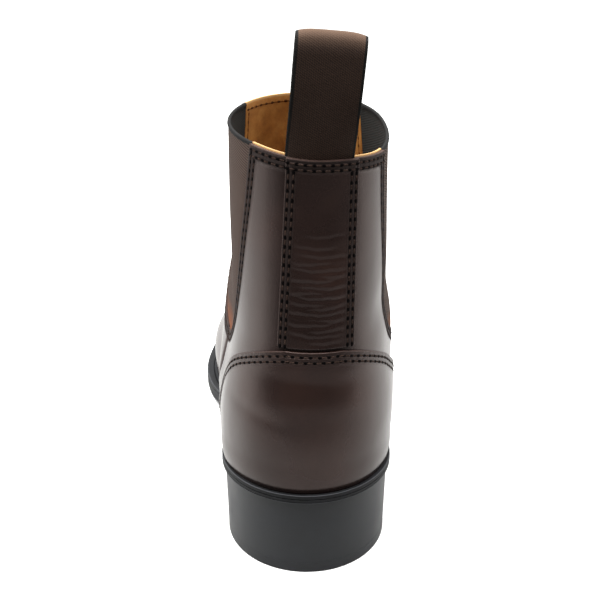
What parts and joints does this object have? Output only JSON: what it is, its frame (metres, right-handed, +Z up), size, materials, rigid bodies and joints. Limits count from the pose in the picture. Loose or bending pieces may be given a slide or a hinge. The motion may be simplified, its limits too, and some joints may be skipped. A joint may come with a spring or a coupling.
{
  "type": "ankle boot",
  "caption": "Left pull-on ankle boot in polished brown leather, with elastic side gores, stitched heel counter, back strap, webbing pull loop, welted rubber sole and block heel",
  "frame": {"origin": "the middle of the heel's ground face, on the floor", "axes": "+X runs from the heel to the toe, +Y points to the outer side of the foot, +Z is up"},
  "size_m": [0.2966, 0.1093, 0.2204],
  "materials": {
    "brown_leather": "polished dark brown leather with a soft gloss",
    "brown_elastic": "brown woven elastic with a fine twill",
    "brown_webbing": "dark brown woven tape",
    "tan_lining": "plain tan leather",
    "black_rubber": "satin black rubber"
  },
  "bodies": {
    "root": {"upper": "brown_leather", "counter": "brown_leather", "backstay": "brown_leather", "gore_lateral": "brown_elastic", "gore_medial": "brown_elastic", "pull_loop": "brown_webbing", "insole": "tan_lining", "storm_welt": "black_rubber", "outsole": "black_rubber", "heel_block": "black_rubber", "top_lift": "black_rubber"}
  },
  "joints": []
}
